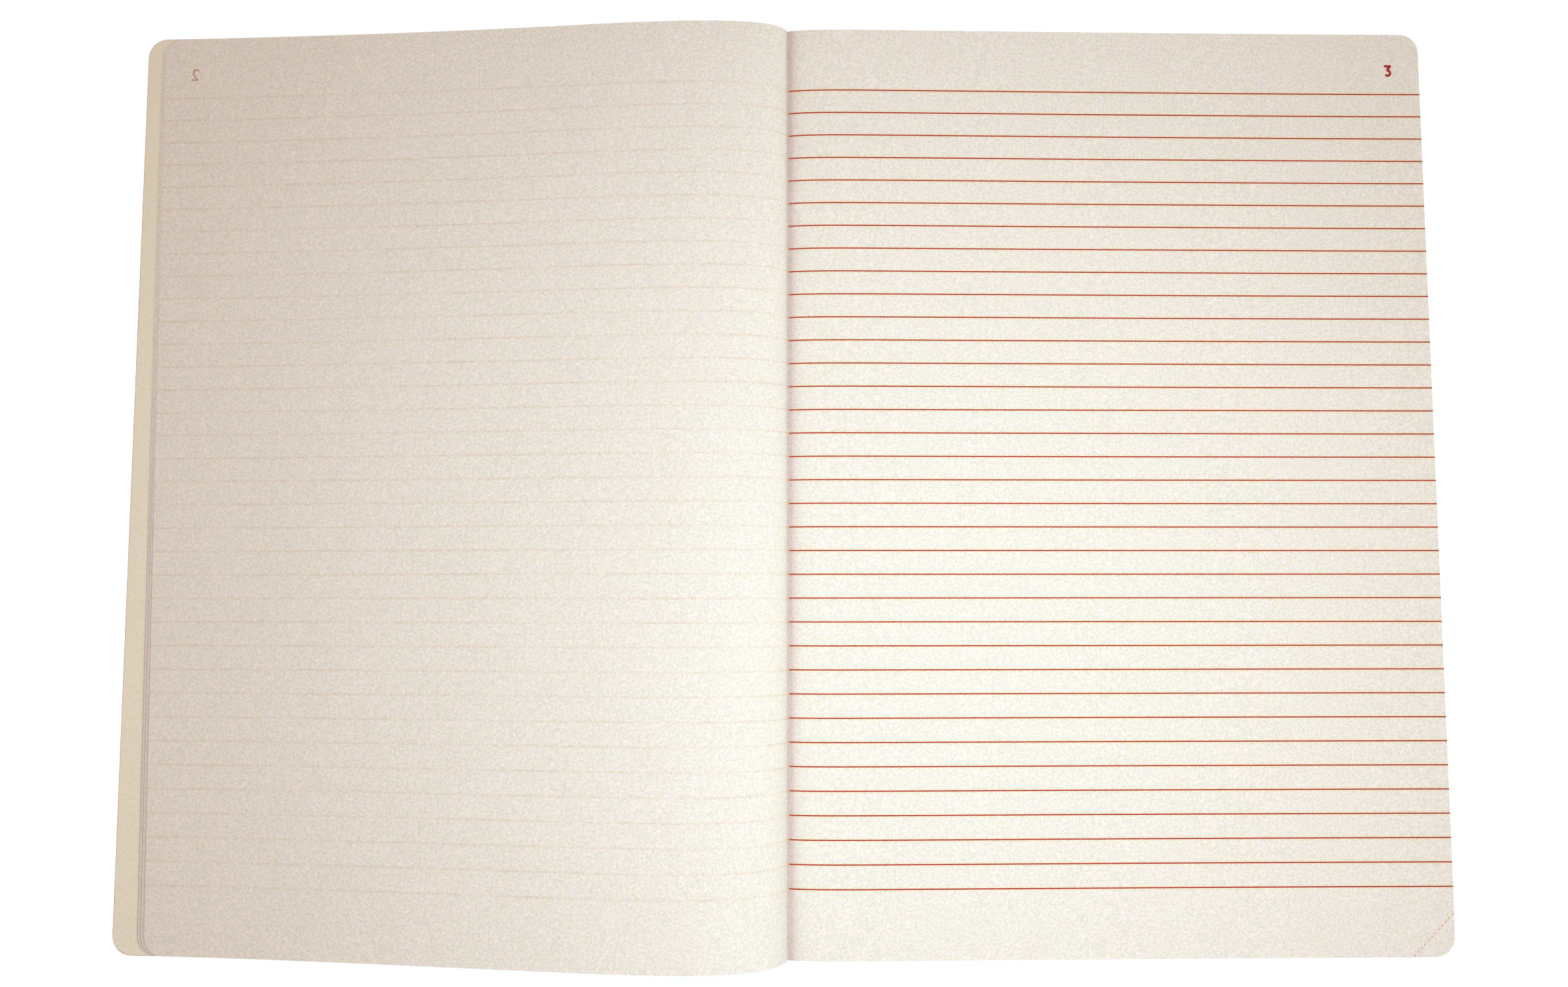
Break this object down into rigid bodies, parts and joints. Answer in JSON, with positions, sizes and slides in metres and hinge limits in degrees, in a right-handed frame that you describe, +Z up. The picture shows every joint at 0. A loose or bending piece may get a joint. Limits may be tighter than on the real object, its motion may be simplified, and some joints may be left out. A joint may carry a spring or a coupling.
{
  "type": "carbonless duplicate book",
  "caption": "Open A4 ruled duplicate book with rounded corners, card covers that hinge at a taped spine, and numbered pages with a tear-off corner.",
  "frame": {"origin": "on the table below the gutter, at the middle of the page height, in the plane of the back cover's outer face", "axes": "+X from the gutter across the open right-hand page, +Y to the head of the page, +Z up from the table"},
  "size_m": [0.4214, 0.2976, 0.0242],
  "materials": {
    "white_paper": "matte",
    "rule_ink": "matte",
    "number_ink": "matte",
    "thread": "matte",
    "lining_gauze": "matte",
    "tape_cloth": "matte",
    "cover_card": "matte",
    "endpaper": "matte"
  },
  "bodies": {
    "pages": {"page_block": "white_paper", "ruled_lines": "rule_ink", "page_number": "number_ink", "sewing_thread": "thread", "spine_lining": "lining_gauze", "spine_tape": "tape_cloth"},
    "front": {"front_cover": "cover_card", "front_tape_lap": "tape_cloth", "front_endpaper": "endpaper", "turned_leaves": "white_paper"},
    "back": {"back_cover": "cover_card", "back_tape_lap": "tape_cloth", "back_endpaper": "endpaper"}
  },
  "joints": [
    {"name": "front_cover_hinge", "type": "hinge", "parent": "pages", "child": "front", "pos_m": [-0.00225, 0, 0.01108], "axis": [0, 1, 0], "range_deg": [0, 183], "deforming": ["turned_leaves"]},
    {"name": "back_cover_hinge", "type": "hinge", "parent": "pages", "child": "back", "pos_m": [-0.00225, 0, 0], "axis": [0, 1, 0], "range_deg": [0, 178]}
  ]
}
